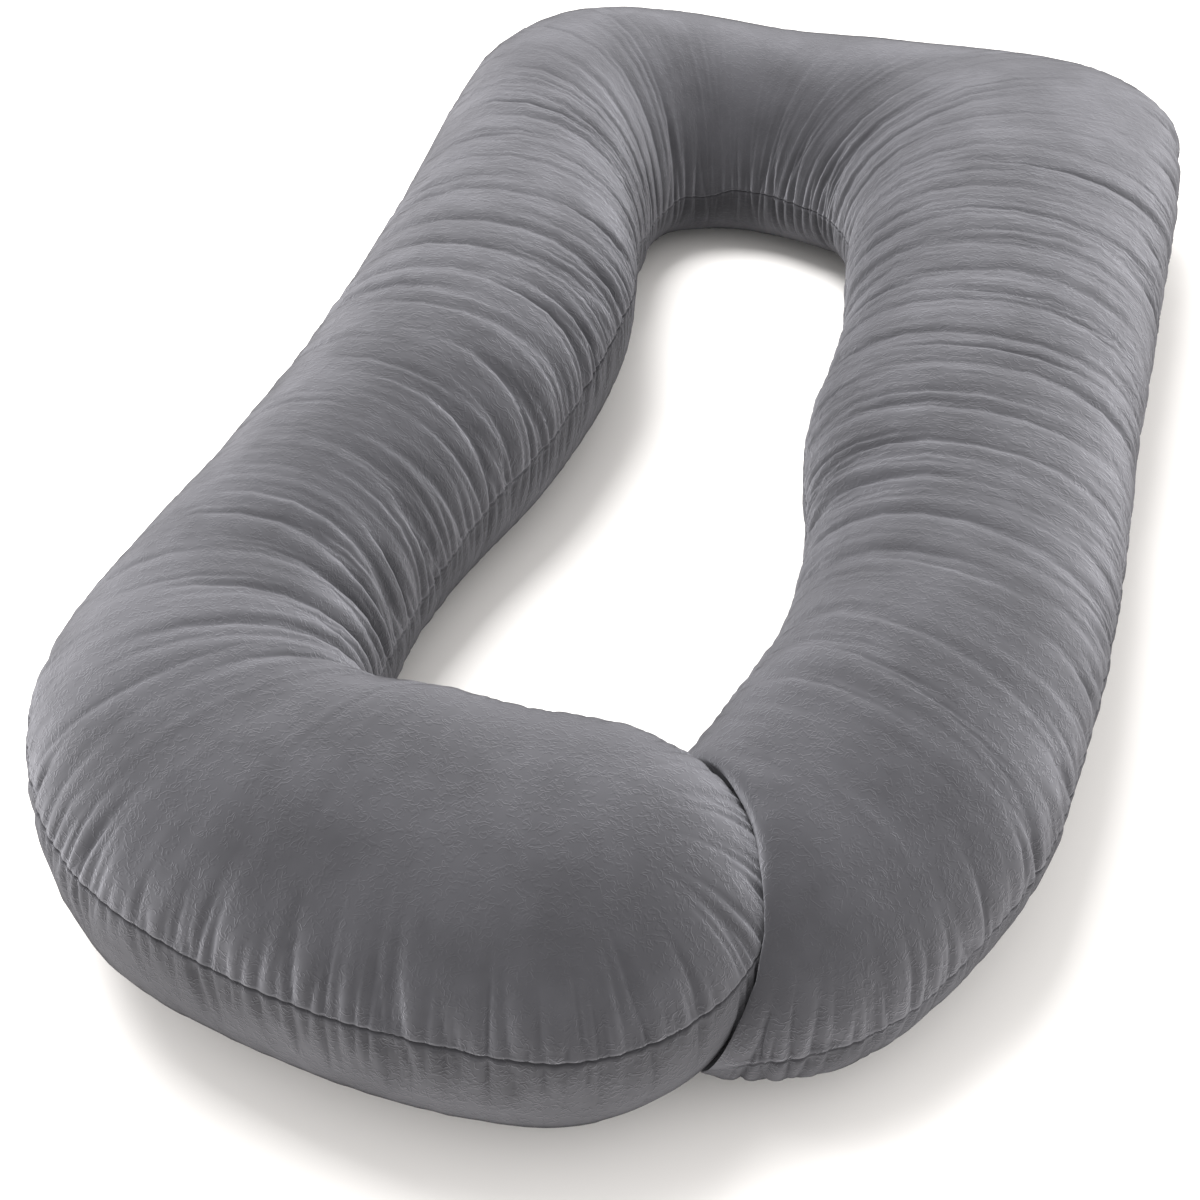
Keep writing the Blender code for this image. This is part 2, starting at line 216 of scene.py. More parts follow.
# The velvet: tones of its nap, painted shade, its sheen, the strokes it lies in, and the ripples where it
# is crushed.
CLOTH_ROUGHNESS = 0.9
CLOTH_SPECULAR = 0.1
NAP_DARK = (0.020, 0.0195, 0.022, 1.0)
NAP_LIGHT = (0.027, 0.0265, 0.030, 1.0)
# Painted shade: the dark line in the seam's groove, drawn as stitches.
GROOVE_SHADE = (0.012, 0.012, 0.014, 1.0)
TONE_SCALE = 11.0
TONE_RANGE = (0.35, 0.65)
# Painted shade: the panel under the seam is darker in colour and in sheen.
UNDER_SHADE = 0.68
PANEL_EDGE = 0.004
SHEEN = 0.78
SHEEN_LOSS = 0.7
SHEEN_LOSS_POWER = 2.5
SHEEN_SPREAD = 0.2
SHEEN_ROUGHNESS = 0.55
SHEEN_TINT = (0.90, 0.90, 0.97, 1.0)
NAP_SCALE = 210.0
NAP_STRETCH = 0.40
NAP_LINE = 0.14
NAP_HEIGHT = 0.00016
NAP_PATCH_SCALE = 150.0
NAP_PATCHES = (0.36, 0.50)
RIPPLE_SIZE = (0.007, 0.018)
RIPPLE_HEIGHT = 0.0005
SEAM_LINE = 0.00065
STITCH = 0.0032
STITCH_THIN = 0.7
STITCH_SWELL = 0.6

# The cover is puffed out between sharp creases. Each crease is a valley this wide, rounded at its bottom.
# The skews are places along the tube and how far the cloth leans ahead over its creases there.
CREASE_WIDTH = 0.0028
CREASE_ROUNDING = 0.0006
CREASE_SKEW = 0.6
SKEWS = ((0.0, 0.3), (0.3, 1.0), (0.9, 1.0), (1.3, 0.0),
         (1.7, -1.0), (2.4, -1.0), (2.6, 0.0), (2.82, 0.3))
PUFF_SHARE = 0.75
PUFF_SPAN = 14

# Stretches of the tube that are crushed into creases across it: from, to, pitch, depth, and how far the
# creases from either seam lean ahead along the tube on their way to the crown: towards the closed end.
Crushed = namedtuple("Crushed", "start end pitch depth lean")
CRUSHED = (
    Crushed(0.05, 0.33, 0.0095, 0.0012, 0.012),
    Crushed(0.31, 0.90, 0.0090, 0.0028, 0.018),
    Crushed(0.90, 1.15, 0.0120, 0.0016, 0.0),
    Crushed(1.45, 1.66, 0.0120, 0.0016, 0.0),
    Crushed(1.64, 2.12, 0.0090, 0.0026, -0.018),
    Crushed(2.10, 2.60, 0.0110, 0.0014, -0.008),
)
MAIN_CREASE_SHARE = 0.22

# How the creases differ: in strength, width, spacing, lean and where they start and stop. They weaken
# towards the edges of a stretch, and two slow drifts bend them all.
CREASE_SEED = 3
CREASE_FAINTEST = 0.2
CREASE_POWER = 2.2
CREASE_FACTOR = 2.1
CREASE_WIDTHS = (0.7, 1.3)
CREASE_SPACING = (0.4, 1.6)
CREASE_STRAY = 0.004
CREASE_NEAR = 0.07
CREASE_INNER_END, CREASE_INNER_STOPS = -1.25, (-0.5, 0.6)
CREASE_OUTER_STARTS, CREASE_OUTER_END = (-0.5, 0.5), 1.3
CREASE_SHORT_STARTS, CREASE_SHORT_SPANS = (-0.8, 0.0), (0.5, 1.1)
STRETCH_EDGE = 0.08
STRETCH_EDGE_SHARE = 0.3
Drift = namedtuple("Drift", "reach pitch_along pitch_across seed")
DRIFTS = (Drift(0.010, 0.11, 0.8, 5), Drift(0.003, 0.03, 0.3, 6))

# The most cloth length counted for each length along the tube, and the shortest step along it.
SCALE_LIMIT = 3.0
SHORTEST_STEP = 1e-5

# Gathers at the seam: their depth and reach at places along the tube, on its inner and outer side.
Gather = namedtuple("Gather", "along inner_depth inner_reach outer_depth outer_reach")
GATHERS = (
    Gather(0.00, 0.0040, 0.060, 0.0044, 0.060),
    Gather(0.12, 0.0046, 0.110, 0.0042, 0.060),
    Gather(0.30, 0.0050, 0.120, 0.0036, 0.080),
    Gather(0.80, 0.0052, 0.130, 0.0042, 0.090),
    Gather(1.10, 0.0048, 0.140, 0.0050, 0.100),
    Gather(1.35, 0.0036, 0.080, 0.0020, 0.030),
    Gather(1.60, 0.0044, 0.150, 0.0036, 0.085),
    Gather(2.10, 0.0044, 0.140, 0.0030, 0.070),
    Gather(2.45, 0.0054, 0.170, 0.0036, 0.060),
    Gather(2.62, 0.0040, 0.110, 0.0044, 0.060),
    Gather(2.74, 0.0014, 0.055, 0.0042, 0.065),
    Gather(2.82, 0.0012, 0.045, 0.0040, 0.070),
)

# How the gathers differ: in spacing, length, height, width, lean and bend, and in how far under the tube
# they reach. Those round the tube's two ends share one depth and reach.
GATHER_SEED = 8
GATHER_PITCH = 0.0088
GATHER_SPACING = (0.5, 1.5)
GATHER_LENGTHS = (0.3, 1.2)
GATHER_LEAST = 0.4
GATHER_HEIGHTS = (0.7, 1.1)
GATHER_WIDTHS = (0.7, 1.2)
GATHER_LEAN = 0.10
GATHER_BEND = 1.2
GATHER_FADE_START = 0.15
GATHER_NEAR = 0.045
UNDER_REACH = 0.085
UNDER_SHARES = (0.6, 1.0)
TIP_GATHER_DEPTH = 0.0048
TIP_GATHER_REACH = 0.070

# Where the nap lies in ripples across the tube, from 0 to 1, along the tube.
CRUSH_SHADE = ((0.15, 0.0), (0.35, 1.0), (0.85, 1.0), (1.00, 0.5), (1.20, 0.2), (1.50, 0.4),
               (1.70, 1.0), (2.15, 1.0), (2.35, 0.4), (2.50, 0.1), (2.60, 0.0))

# The filling's own unevenness, broad and low, and the cover's fine crushing.
LUMP_PITCH = 0.09
LUMP_HEIGHT = 0.0018
LUMP_SHIFT = (40, 30)
LUMP_SEED = 51
FINE_PITCH = 0.007
FINE_PITCH_ACROSS = 0.25
FINE_HEIGHT = 0.0004
FINE_SEED = 71

# All relief fades over this height above the floor, so that the underside stays flat where it lies.
RELIEF_FLOOR = 0.012

# The lattice that smooth noise is drawn on, and how far the tube's own noise is moved across it.
LATTICE = (512, 64)
NOISE_SHIFT = 20

# The floor, the room, the one light above, and the camera.
FLOOR_REACH = 12.0
FLOOR_COLOUR = (0.86, 0.84, 0.82, 1.0)
FLOOR_ROUGHNESS = 0.9
FLOOR_GLOW = (1.0, 0.99, 0.98, 1.0)
FLOOR_GLOW_STRENGTH = 0.03
ROOM_COLOUR = (1.0, 0.99, 0.98, 1.0)
ROOM_STRENGTH = 1.3
KEY_PLACE = (-1.0, 0.3, 2.9)
KEY_SIZE = 1.7
KEY_POWER = 132
CAMERA_PLACE = (0.1693, -1.1564, 0.9018)
CAMERA_DOWN, CAMERA_ROLL, CAMERA_ROUND = 41.4286, 0.0336, 13.7068
CAMERA_LENS, CAMERA_FRAME = 47.66, 36.0

TABLE = np.array(SECTIONS)
STEPS = np.diff(TABLE, axis=0)
CHORDS = (np.hypot(*STEPS[:, INNER].T) + np.hypot(*STEPS[:, OUTER].T)) / 2
MARKS = np.concatenate(([0.0], np.cumsum(CHORDS)))
LENGTH = MARKS[-1]


def table_slopes():
    """The slope of each column of the table at each section, from its neighbours."""
    rates = STEPS / CHORDS[:, None]
    share = (CHORDS[1:] / (CHORDS[1:] + CHORDS[:-1]))[:, None]
    return np.concatenate((rates[:1], rates[:-1] * share + rates[1:] * (1 - share), rates[-1:]))


SLOPES = table_slopes()


def section_at(along):
    """The table's columns at distances along the tube, on cubic curves through the sections."""
    i = np.clip(np.searchsorted(MARKS, along) - 1, 0, len(CHORDS) - 1)
    step = CHORDS[i][..., None]
    t = (along - MARKS[i])[..., None] / step
    rise = t * t * (3 - 2 * t)
    leave = t * (1 - t) ** 2 * step
    arrive = t * t * (t - 1) * step
    return TABLE[i] * (1 - rise) + TABLE[i + 1] * rise + leave * SLOPES[i] + arrive * SLOPES[i + 1]


def raised_ellipse(angle, roundness):
    """Out and up along a quarter of a superellipse, for angles in degrees from its side."""
    turn = np.radians(np.abs(angle))
    return np.maximum(np.cos(turn), 0) ** (2 / roundness), np.sin(turn) ** (2 / roundness)


def smooth_step(value, low, high):
    """0 below low, 1 above high, and a soft rise between."""
    t = np.clip((value - low) / (high - low), 0, 1)
    return t * t * (3 - 2 * t)


def soft_noise(u, v, seed):
    """Smooth random heights, about -1 to 1, on a lattice of unit pitch."""
    draws = np.random.default_rng(seed).uniform(-1, 1, LATTICE)
    i, j = np.floor(u).astype(int), np.floor(v).astype(int)
    s, t = u - i, v - j
    s, t = s * s * (3 - 2 * s), t * t * (3 - 2 * t)
    i, next_i = i % LATTICE[0], (i + 1) % LATTICE[0]
    j, next_j = j % LATTICE[1], (j + 1) % LATTICE[1]
    near = draws[i, j] * (1 - s) + draws[next_i, j] * s
    far = draws[i, next_j] * (1 - s) + draws[next_i, next_j] * s
    return near * (1 - t) + far * t


def tube_noise(ring, across, pitch_along, pitch_across, seed):
    """Smooth random heights in the tube's own places, with a pitch along it and one across it."""
    return soft_noise(ring.along[:, None] / pitch_along, across / pitch_across + NOISE_SHIFT, seed)


def valley(distance, skew):
    """A crease's own section: 1 at its bottom, sharp there and gone a few widths away. A positive skew
    makes it steep before its bottom and gentle after."""
    width = CREASE_WIDTH * np.exp(CREASE_SKEW * skew * np.tanh(distance / CREASE_ROUNDING))
    return np.exp(-(np.sqrt(distance ** 2 + CREASE_ROUNDING ** 2) - CREASE_ROUNDING) / width)


def nap_skew(along):
    """How the cloth leans over its creases: towards the closed end on both legs, and hardly elsewhere."""
    return np.interp(along, *np.array(SKEWS).T)


# The columns round the seam, as arrays: place along the tube, turn round an end of the tube, that end's
# length and seam, and 1 where it points ahead along the tube or -1 where it points back.
Ring = namedtuple("Ring", "along turn tip_length tip_seam ahead")


def seam_ring():
    """The outer side, the hooked end, the inner side back and the free end. Columns are closer in bends."""
    fine = np.linspace(0, LENGTH, 4 * COLUMNS + 1)
    outer = section_at(fine)[:, OUTER]
    run = np.concatenate(([0.0], np.cumsum(np.hypot(*np.diff(outer, axis=0).T)))) + fine
    places = np.interp(np.linspace(0, run[-1], COLUMNS + 1), run, fine)
    places[0], places[-1] = 0.0, LENGTH
    turns = np.linspace(0, np.pi, TIP_COLUMNS + 1)[1:-1]
    side, end = np.ones(len(places)), np.ones(len(turns))
    hooked = np.concatenate((side, end, side, 0 * end))
    return Ring(
        along=np.concatenate((places, LENGTH * end, places[::-1], 0 * end)),
        turn=np.concatenate((0 * side, turns, np.pi * side, turns[::-1])),
        tip_length=hooked * (HOOK_TIP.length - FREE_TIP.length) + FREE_TIP.length,
        tip_seam=hooked * (HOOK_TIP.seam - FREE_TIP.seam) + FREE_TIP.seam,
        ahead=np.concatenate((side, end, side, -end)),
    )


def on_sides(ring):
    """Which columns are on the tube's sides, not round an end."""
    return np.isin(ring.turn, (0.0, np.pi))


def row_angles():
    """Degrees from the seam of each row: the underside's middle, the seam at 0, and the crown."""
    return np.concatenate((-np.array(UNDER_ROWS)[::-1], [0.0], TOP_ROWS))


def wander(along, across):
    """How far a line across the tube stands ahead of its place on the crown: none at the seams or ends."""
    wave = np.sin(np.pi * along / LENGTH) * np.sin(2 * np.pi * along / WANDER_PITCH)
    return WANDER * wave * np.cos(np.pi * np.clip(across, -1, 1) / 2)


def seam_height(section, tip_seam, turn):
    """The seam's height round an end of the tube, from turn 0 on its outer side to turn pi on its inner."""
    inner, outer = section[..., INNER_SEAM], section[..., OUTER_SEAM]
    middle, tilt = (inner + outer) / 2, (outer - inner) / 2
    return middle + tilt * np.cos(turn) + (tip_seam - middle) * np.sin(turn) ** 2


def belly_height(seam, crown):
    """The height at which a side of the tube is widest: the seam's, or lower where the seam stands high."""
    return seam - BELLY_DROP * np.maximum(0, seam - BELLY * crown)


def seam_angle(seam, crown):
    """How far up from its widest point a side has its seam, in degrees of its superellipse."""
    belly = belly_height(seam, crown)
    share = (seam - belly) / (crown - belly)
    return np.degrees(np.arcsin(share ** (TOP_ROUNDNESS / 2)))


def hook_wall(points):
    """Where points stand from the hooked end's middle in plan: that middle, their direction and distance
    from it, and how far out the hooked end's wall is on that side at that height, with the gap."""
    end = section_at(np.array([LENGTH]))[0]
    middle, half = (end[INNER] + end[OUTER]) / 2, (end[OUTER] - end[INNER]) / 2
    reach = np.hypot(*half)
    away = points[..., 0:2] - middle
    distance = np.hypot(away[..., 0], away[..., 1])
    direction = away / distance[..., None]
    aside = direction @ (half / reach)
    ahead = np.sqrt(np.maximum(1 - aside ** 2, 0))
    rim = 1 / np.hypot(ahead / HOOK_TIP.length, aside / reach)
    seam = seam_height(end, HOOK_TIP.seam, np.arctan2(ahead / HOOK_TIP.length, aside / reach))
    height = points[..., 2]
    belly = belly_height(seam, end[CROWN])
    above = np.clip((height - belly) / (end[CROWN] - belly), 0, 1)
    below = np.clip((belly - height * (1 - UNDER_SAG) - belly * UNDER_SAG) / belly, 0, 1)
    top = (1 - above ** TOP_ROUNDNESS) ** (1 / TOP_ROUNDNESS)
    under = (1 - below ** UNDER_ROUNDNESS) ** (1 / UNDER_ROUNDNESS)
    out_at_seam, _ = raised_ellipse(seam_angle(seam, end[CROWN]), TOP_ROUNDNESS)
    wall = rim / out_at_seam * np.where(height >= belly, top, under) + CONTACT_GAP
    return middle, direction, distance, wall


def pressed_aside(points):
    """The points, moved out of the hooked end's way: the free leg takes a soft dent where the two meet."""
    middle, direction, distance, wall = hook_wall(points)
    apart = np.clip(distance - wall, -CONTACT_BLEND, CONTACT_BLEND)
    push = (apart + CONTACT_BLEND) ** 2 / (4 * CONTACT_BLEND)
    moved = points.copy()
    distance = np.where(distance - wall < CONTACT_BLEND, wall + push, distance)
    moved[..., 0:2] = middle + direction * distance[..., None]
    return moved


def smooth_cover(ring, angles):
    """The cover with no folds: a point for each column and row, and the direction out of the tube there."""
    turn = ring.turn[:, None]
    across = np.cos(turn) * (1 - angles / 90)
    section = section_at(ring.along[:, None] + wander(ring.along[:, None], across))
    middle = (section[..., INNER] + section[..., OUTER]) / 2
    half = (section[..., OUTER] - section[..., INNER]) / 2
    forward = np.stack((-half[..., 1], half[..., 0]), axis=-1) / np.linalg.norm(half, axis=-1)[..., None]
    reach = (ring.ahead * ring.tip_length * np.sin(ring.turn))[:, None, None]
    rim = middle + half * np.cos(turn)[..., None] + forward * reach
    seam = seam_height(section, ring.tip_seam[:, None], turn)
    crown = section[..., CROWN]
    belly, lift = belly_height(seam, crown), seam_angle(seam, crown)
    rise = lift + np.where(angles >= 0, 90 - lift, 90 + lift) * angles / 90
    out_top, up = raised_ellipse(rise, TOP_ROUNDNESS)
    out_under, down = raised_ellipse(rise, UNDER_ROUNDNESS)
    out_at_seam, _ = raised_ellipse(lift, TOP_ROUNDNESS)
    above = belly + (crown - belly) * up
    below = np.maximum(belly * (1 - down - UNDER_SAG) / (1 - UNDER_SAG), 0)
    out = np.where(rise >= 0, out_top, out_under) / out_at_seam
    plan = middle + (rim - middle) * out[..., None]
    height = np.where(rise >= 0, above, below)
    points = np.concatenate((plan, height[..., None]), axis=-1)
    core = np.concatenate((middle, crown[..., None] / 2), axis=-1)
    outward = points - core
    outward /= np.linalg.norm(outward, axis=-1)[..., None]
    return points, outward, across


def ring_sum(values, span):
    """Each column's values, added to those of the columns beside it round the ring, span to each side."""
    total = np.zeros(values.shape)
    for step in range(-span, span + 1):
        total += np.roll(values, step, axis=0)
    return total


def eased(points):
    """The points with the plan's corners rounded off: each is the mean of its stretch of the ring."""
    return ring_sum(points, EASE_SPAN) / (2 * EASE_SPAN + 1)


def main_folds(ring, across):
    """How far the main folds draw the cover in: each is a soft trough between two raised lips."""
    depth = np.zeros(across.shape)
    for fold in FOLDS:
        apart = (ring.along - fold.along) / FOLD_LIP * math.sqrt(3)
        near = on_sides(ring) & (np.abs(apart) < FOLD_NEAR)
        fade = np.minimum(across[near] - fold.start, fold.end - across[near]) / FOLD_FADE
        fade = smooth_step(fade, 0, 1)
        trough = (1 - LIP_SHARE * apart ** 2) * np.exp(-apart ** 2 / 2)
        depth[near] += fold.depth * fade * trough[near, None]
    return depth


def seam_groove(distance):
    """How far the seam draws the cover in, with a small lip beside it."""
    groove = GROOVE_DEPTH * np.exp(-(distance / GROOVE_WIDTH) ** 2)
    lip = LIP_HEIGHT * np.exp(-((np.abs(distance) - LIP_WIDTH) / GROOVE_WIDTH) ** 2)
    return groove - lip


Crease = namedtuple("Crease", "place lean bend start end depth width")


def drawn_creases():
    """The creases across the tube: the main folds' own, and random ones in the crushed stretches."""
    dice = np.random.default_rng(CREASE_SEED)
    creases = [
        Crease(fold.along, 0, 0, fold.start, fold.end, fold.depth * MAIN_CREASE_SHARE, 1)
        for fold in FOLDS
    ]
    for stretch in CRUSHED:
        place = stretch.start
        while place < stretch.end:
            # from the inner seam to the crown, from the crown to the outer seam, or short, over the crown
            kind = dice.integers(3)
            outer_start = dice.uniform(*CREASE_OUTER_STARTS)
            short_start = dice.uniform(*CREASE_SHORT_STARTS)
            start = (CREASE_INNER_END, outer_start, short_start)[kind]
            inner_stop = dice.uniform(*CREASE_INNER_STOPS)
            short_span = dice.uniform(*CREASE_SHORT_SPANS)
            end = (inner_stop, CREASE_OUTER_END, start + short_span)[kind]
            edge = min(place - stretch.start, stretch.end - place)
            share = min(1.0, STRETCH_EDGE_SHARE + edge / STRETCH_EDGE)
            strength = dice.uniform(CREASE_FAINTEST, 1.0) ** CREASE_POWER
            depth = stretch.depth * strength * CREASE_FACTOR * share
            lean = (stretch.lean, -stretch.lean, 0)[kind] + dice.normal(0, CREASE_STRAY)
            bend = dice.normal(0, CREASE_STRAY)
            creases.append(Crease(place, lean, bend, start, end, depth, dice.uniform(*CREASE_WIDTHS)))
            place += stretch.pitch * dice.uniform(*CREASE_SPACING)
    return creases


def long_creases(ring, across, scale):
    """How far the creases across the tube draw the cover in. scale is cloth length per length along it."""
    drift = np.zeros(across.shape)
    for part in DRIFTS:
        noise = tube_noise(ring, across, part.pitch_along, part.pitch_across, part.seed)
        drift += part.reach * noise
    depth = np.zeros(across.shape)
    for crease in drawn_creases():
        near = on_sides(ring) & (np.abs(ring.along - crease.place) < CREASE_NEAR)
        side = across[near]
        fade = smooth_step(np.minimum(side - crease.start, crease.end - side) / FOLD_FADE, 0, 1)
        ahead = ring.along[near, None] + drift[near] - crease.place
        distance = (ahead - crease.lean * side - crease.bend * side ** 2) * scale[near]
        depth[near] += crease.depth * fade * valley(distance / crease.width, nap_skew(crease.place))
    return depth


def gathers(ring, from_seam, round_seam, round_length, scale):
    """How far the gathers round the seam draw the cover in."""
    dice = np.random.default_rng(GATHER_SEED)
    taut = TAUT_SHARE + (1 - TAUT_SHARE) * smooth_step(np.abs(from_seam), 0, TAUT_WIDTH)
    places, *columns = np.array(GATHERS).T
    inner_deep, inner_far, outer_deep, outer_far = (
        np.interp(ring.along, places, column) for column in columns)
    inner = ring.turn > np.pi / 2
    end = np.sin(ring.turn) ** 2
    deep = np.where(inner, inner_deep, outer_deep)
    far = np.where(inner, inner_far, outer_far)
    deep = deep * (1 - end) + TIP_GATHER_DEPTH * end
    far = far * (1 - end) + TIP_GATHER_REACH * end
    depth = np.zeros(from_seam.shape)
    place = 0.0
    while place < round_length - GATHER_PITCH / 2:
        apart = (round_seam - place + round_length / 2) % round_length - round_length / 2
        near = np.abs(apart) < GATHER_NEAR
        here = np.argmin(np.abs(apart))
        length = dice.uniform(*GATHER_LENGTHS)
        up = far[here] * length
        down = min(up, UNDER_REACH) * dice.uniform(*UNDER_SHARES)
        share = GATHER_LEAST + (1 - GATHER_LEAST) * length
        height = deep[here] * share * dice.uniform(*GATHER_HEIGHTS)
        lean, bend = dice.normal(0, GATHER_LEAN), dice.normal(0, GATHER_BEND)
        rise = from_seam[near]
        fade = 1 - smooth_step(np.where(rise > 0, rise / up, -rise / down), GATHER_FADE_START, 1.0)
        distance = (apart[near, None] - lean * rise - bend * rise ** 2) * scale[near]
        skew = nap_skew(ring.along[here]) * np.cos(ring.turn[here])
        depth[near] += height * fade * valley(distance / dice.uniform(*GATHER_WIDTHS), skew)
        place += GATHER_PITCH * dice.uniform(*GATHER_SPACING)
    return depth * taut


def held_in(ring, drawn_in):
    """The relief, kept from standing out of the hooked end, where the free leg lies against it."""
    on_tip = np.where(ring.ahead > 0, np.sin(ring.turn), 0)
    slack = TIP_SLACK + SIDE_SLACK * (1 - smooth_step(on_tip, 0, SLACK_TURN))
    return np.maximum(drawn_in, -slack[:, None])


def puffed_out(depth):
    """The cover stands out between its creases by part of their mean depth, taken round the ring."""
    return depth - PUFF_SHARE * ring_sum(depth, PUFF_SPAN) / (2 * PUFF_SPAN + 1)


def lumps(points):
    """The filling's unevenness, as a height out of the smooth cover."""
    u, v, w = points[..., 0] / LUMP_PITCH, points[..., 1] / LUMP_PITCH, points[..., 2] / LUMP_PITCH
    return LUMP_HEIGHT * soft_noise(u + LUMP_SHIFT[0] + w, v + LUMP_SHIFT[1], LUMP_SEED)


def fine_crush(ring, across):
    """Short fine ripples, longer across the tube than along it."""
    return FINE_HEIGHT * tube_noise(ring, across, FINE_PITCH, FINE_PITCH_ACROSS, FINE_SEED)


# The cloth's own places at each point: round the seam and from the seam, along the tube and from the
# crown, and how crushed it is.
Cloth = namedtuple("Cloth", "seam tube crush")


def strayed(ring, rows):
    """The rows' degrees with the seam's own straying. The crown and the underside's middle stay put."""
    stray = SEAM_STRAY * soft_noise(ring.along / SEAM_STRAY_PITCH, 5 + ring.turn * 3, SEAM_STRAY_SEED)
    stray *= 1 - np.sin(ring.turn) ** 2
    return rows + stray[:, None] * np.exp(-np.abs(rows) / SEAM_STRAY_FADE) * (np.abs(rows) < 90)


def cover_points():
    """Every point of the finished cover by column and row, and its place in the cloth."""
    ring = seam_ring()
    points, outward, across = smooth_cover(ring, strayed(ring, row_angles()))
    points = eased(points)
    seam_row = len(UNDER_ROWS)
    spans = np.linalg.norm(np.diff(points, axis=1), axis=-1)
    from_seam = np.concatenate((np.zeros((len(points), 1)), np.cumsum(spans, axis=1)), axis=1)
    from_seam -= from_seam[:, seam_row:seam_row + 1]
    steps = np.linalg.norm(np.roll(points, -1, axis=0) - points, axis=-1)
    seam_steps = steps[:, seam_row:seam_row + 1]
    round_seam = np.concatenate(([0.0], np.cumsum(seam_steps[:-1, 0])))
    round_length = seam_steps.sum()
    along_steps = np.maximum(np.abs(np.roll(ring.along, -1) - ring.along), SHORTEST_STEP)[:, None]
    depth = long_creases(ring, across, np.minimum(steps / along_steps, SCALE_LIMIT))
    depth += gathers(ring, from_seam, round_seam, round_length, steps / seam_steps)
    drawn_in = puffed_out(depth) + main_folds(ring, across) * MAIN_FOLD_SHARE + seam_groove(from_seam)
    drawn_in -= lumps(points) + fine_crush(ring, across)
    drawn_in = held_in(ring, drawn_in)
    drawn_in *= smooth_step(points[..., 2], 0.0, RELIEF_FLOOR)
    pressed = ring.along < PRESSED_LENGTH
    _, _, distance, wall = hook_wall(points[pressed])
    drawn_in[pressed] *= smooth_step(distance - wall, *SQUEEZED)
    points -= outward * drawn_in[..., None]
    points[pressed] = pressed_aside(points[pressed])
    points[..., 2] = np.maximum(points[..., 2], 0)
    points[..., 0] -= PLAN_CENTRE[0]
    points[..., 1] -= PLAN_CENTRE[1]
    to_crown = np.where(np.cos(ring.turn)[:, None] < 0, -1, 1) * (from_seam[:, -1:] - from_seam)
    crush = np.interp(ring.along, *np.array(CRUSH_SHADE).T) * on_sides(ring)
    return points, Cloth(
        seam=np.stack((np.broadcast_to(round_seam[:, None], from_seam.shape), from_seam), axis=-1),
        tube=np.stack((np.broadcast_to(ring.along[:, None], from_seam.shape), to_crown), axis=-1),
        crush=np.broadcast_to(crush[:, None], from_seam.shape),
    )


def cover_mesh(name):
    """The closed cover: the two halves share the points of the crown and of the underside's middle."""
    points, cloth = cover_points()
    columns, rows = points.shape[:2]
    own = np.arange(columns * rows).reshape(columns, rows)
    index = own.copy()
    side, tip = COLUMNS + 1, TIP_COLUMNS - 1
    for row in (0, rows - 1):
        index[side:side + tip, row] = index[side - 1, row]
        index[side + tip:2 * side + tip, row] = index[side - 1::-1, row]
        index[2 * side + tip:, row] = index[0, row]
    used, place = np.unique(index, return_inverse=True)
    place = place.reshape(columns, rows)
    faces, corners = [], []
    for grid, lists in ((place, faces), (own, corners)):
        after = np.roll(grid, -1, axis=0)
        quads = np.stack((grid[:, :-1], after[:, :-1], after[:, 1:], grid[:, 1:]), axis=-1)
        lists += quads.reshape(-1, 4).tolist()
    for k, face in enumerate(faces):
        if len(set(face)) < 4:
            kept = [i for i in range(4) if face[i] not in face[:i]]
            faces[k], corners[k] = [face[i] for i in kept], [corners[k][i] for i in kept]
    corners = [own for face, own in zip(faces, corners) if len(face) > 2]
    faces = [face for face in faces if len(face) > 2]
    mesh = bpy.data.meshes.new(name)
    mesh.from_pydata(points.reshape(-1, 3)[used].tolist(), [], faces)
    corner = np.concatenate(corners)
    for label, values in (("seam", cloth.seam), ("tube", cloth.tube)):
        layer = mesh.uv_layers.new(name=label)
        layer.uv.foreach_set("vector", values.reshape(-1, 2)[corner].ravel())
    crush = mesh.attributes.new("crush", "FLOAT", "POINT")
    crush.data.foreach_set("value", cloth.crush.reshape(-1)[used])
    mesh.shade_smooth()
    return mesh


class Nodes:
    """Short ways to add and join the nodes of one material."""

    def __init__(self, material):
        self.tree = material.node_tree

    def add(self, kind, settings=(), **links):
        """A node with its settings by name or socket, and links to its inputs."""
        node = self.tree.nodes.new(kind)
        for key, value in dict(settings).items():
            if hasattr(node, key):
                setattr(node, key, value)
            else:
                node.inputs[key].default_value = value
        for key, source in links.items():
            self.tree.links.new(source, node.inputs[key.replace("_", " ")])
        return node

    def math(self, operation, *values):
        """One sum, whose values are sockets or numbers."""
        node = self.tree.nodes.new("ShaderNodeMath")
        node.operation = operation
        for socket, value in zip(node.inputs, values):
            if isinstance(value, (int, float)):
                socket.default_value = value
            else:
                self.tree.links.new(value, socket)
        return node.outputs[0]

    def ramp(self, value, low, high):
        """A soft rise of the value from 0 at low to 1 at high."""
        settings = {"interpolation_type": "SMOOTHSTEP", "From Min": low, "From Max": high}
        node = self.add("ShaderNodeMapRange", settings)
        self.tree.links.new(value, node.inputs["Value"])
        return node.outputs["Result"]

    def mix(self, factor, first, second):
        """The first colour or socket at factor 0, the second at 1."""
        node = self.add("ShaderNodeMix", {"data_type": "RGBA"})
        self.tree.links.new(factor, node.inputs[0])
        for socket, value in zip(node.inputs[6:8], (first, second)):
            if isinstance(value, tuple):
                socket.default_value = value
            else:
                self.tree.links.new(value, socket)
        return node.outputs[2]


